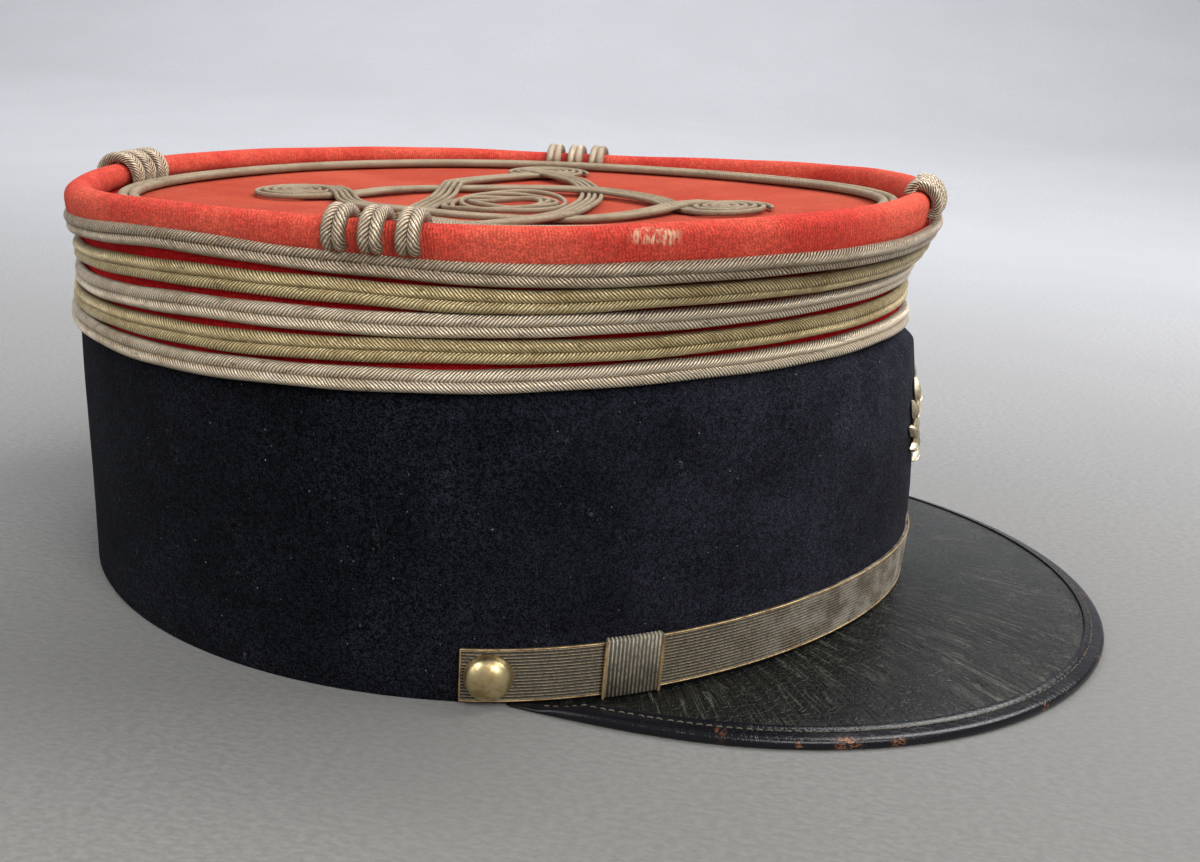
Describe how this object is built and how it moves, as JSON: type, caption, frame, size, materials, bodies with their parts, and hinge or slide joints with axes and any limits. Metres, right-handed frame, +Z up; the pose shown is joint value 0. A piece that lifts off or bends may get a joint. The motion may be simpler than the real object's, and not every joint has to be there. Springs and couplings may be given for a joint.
{
  "type": "kepi cap",
  "caption": "Kepi cap of navy wool and red felt with rows of cord braid, a looped knot on its sunken top, a leather peak and a ribbed chin strap.",
  "frame": {"origin": "on the surface the cap rests on, under the middle of its overall box", "axes": "+X to the front, along the peak; +Z up; the wearer's left side faces -Y when the cap is seen with its peak to the right"},
  "size_m": [0.2566, 0.1835, 0.103],
  "materials": {
    "navy_wool": "matt wool cloth, faintly linty",
    "red_felt": "matt felt, dusty on the sunken top",
    "silver_braid": "aged silver-thread cord",
    "gold_braid": "aged gold-thread cord",
    "dull_braid": "dull grey-brown cord",
    "patent_leather": "worn black patent",
    "ribbed_ribbon": "black ribbon with metal-thread ribs",
    "aged_brass": "polished, aged",
    "gilt": "aged gilt embroidery wire"
  },
  "bodies": {
    "root": {"band": "navy_wool", "turban": "red_felt", "top_disc": "red_felt", "braid_row_1": "silver_braid", "braid_row_2": "gold_braid", "braid_row_3": "silver_braid", "braid_row_4": "gold_braid", "braid_row_5": "silver_braid", "rim_braid_front_1": "silver_braid", "rim_braid_front_2": "silver_braid", "rim_braid_front_3": "silver_braid", "rim_braid_right_1": "silver_braid", "rim_braid_right_2": "silver_braid", "rim_braid_right_3": "silver_braid", "rim_braid_back_1": "silver_braid", "rim_braid_back_2": "silver_braid", "rim_braid_back_3": "silver_braid", "rim_braid_left_1": "silver_braid", "rim_braid_left_2": "silver_braid", "rim_braid_left_3": "silver_braid", "top_ring_braid": "dull_braid", "top_knot": "dull_braid", "peak": "patent_leather", "peak_binding": "patent_leather", "chin_strap": "ribbed_ribbon", "strap_slide_left": "ribbed_ribbon", "strap_slide_right": "ribbed_ribbon", "button_left": "aged_brass", "button_right": "aged_brass", "front_badge": "gilt"}
  },
  "joints": []
}
